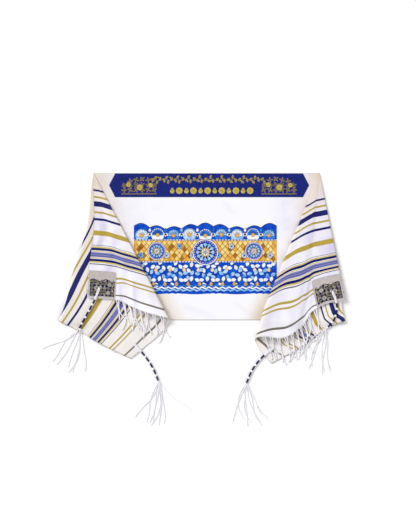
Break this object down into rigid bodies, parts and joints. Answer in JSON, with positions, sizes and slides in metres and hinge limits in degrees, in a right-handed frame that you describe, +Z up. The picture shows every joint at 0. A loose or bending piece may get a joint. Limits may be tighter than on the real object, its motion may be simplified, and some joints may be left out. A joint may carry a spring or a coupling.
{
  "type": "tallit prayer shawl",
  "caption": "Fringed prayer shawl laid flat with both striped ends folded over the front, with a neckband, corner patches and corner tassels.",
  "frame": {"origin": "on the floor, under the middle of the whole laid-out shawl", "axes": "+X along the neck edge, +Y towards the neck edge, +Z up from the floor"},
  "size_m": [1.1598, 0.9694, 0.0297],
  "materials": {
    "woven_cloth": "matt white weave with navy, gold, lavender and grey stripes",
    "neckband_satin": "navy satin with gold embroidery",
    "patch_satin": "grey satin with navy and gold embroidery",
    "tassel_yarn": "twisted white yarn with navy windings",
    "fringe_yarn": "knotted white yarn"
  },
  "bodies": {
    "root": {"shawl_cloth": "woven_cloth", "atarah": "neckband_satin", "corner_patch_upper_left": "patch_satin", "corner_patch_lower_left": "patch_satin", "corner_patch_upper_right": "patch_satin", "corner_patch_lower_right": "patch_satin", "corner_tassel_upper_left": "tassel_yarn", "corner_tassel_lower_left": "tassel_yarn", "corner_tassel_upper_right": "tassel_yarn", "corner_tassel_lower_right": "tassel_yarn", "fringe_left": "fringe_yarn", "fringe_right": "fringe_yarn"}
  },
  "joints": []
}
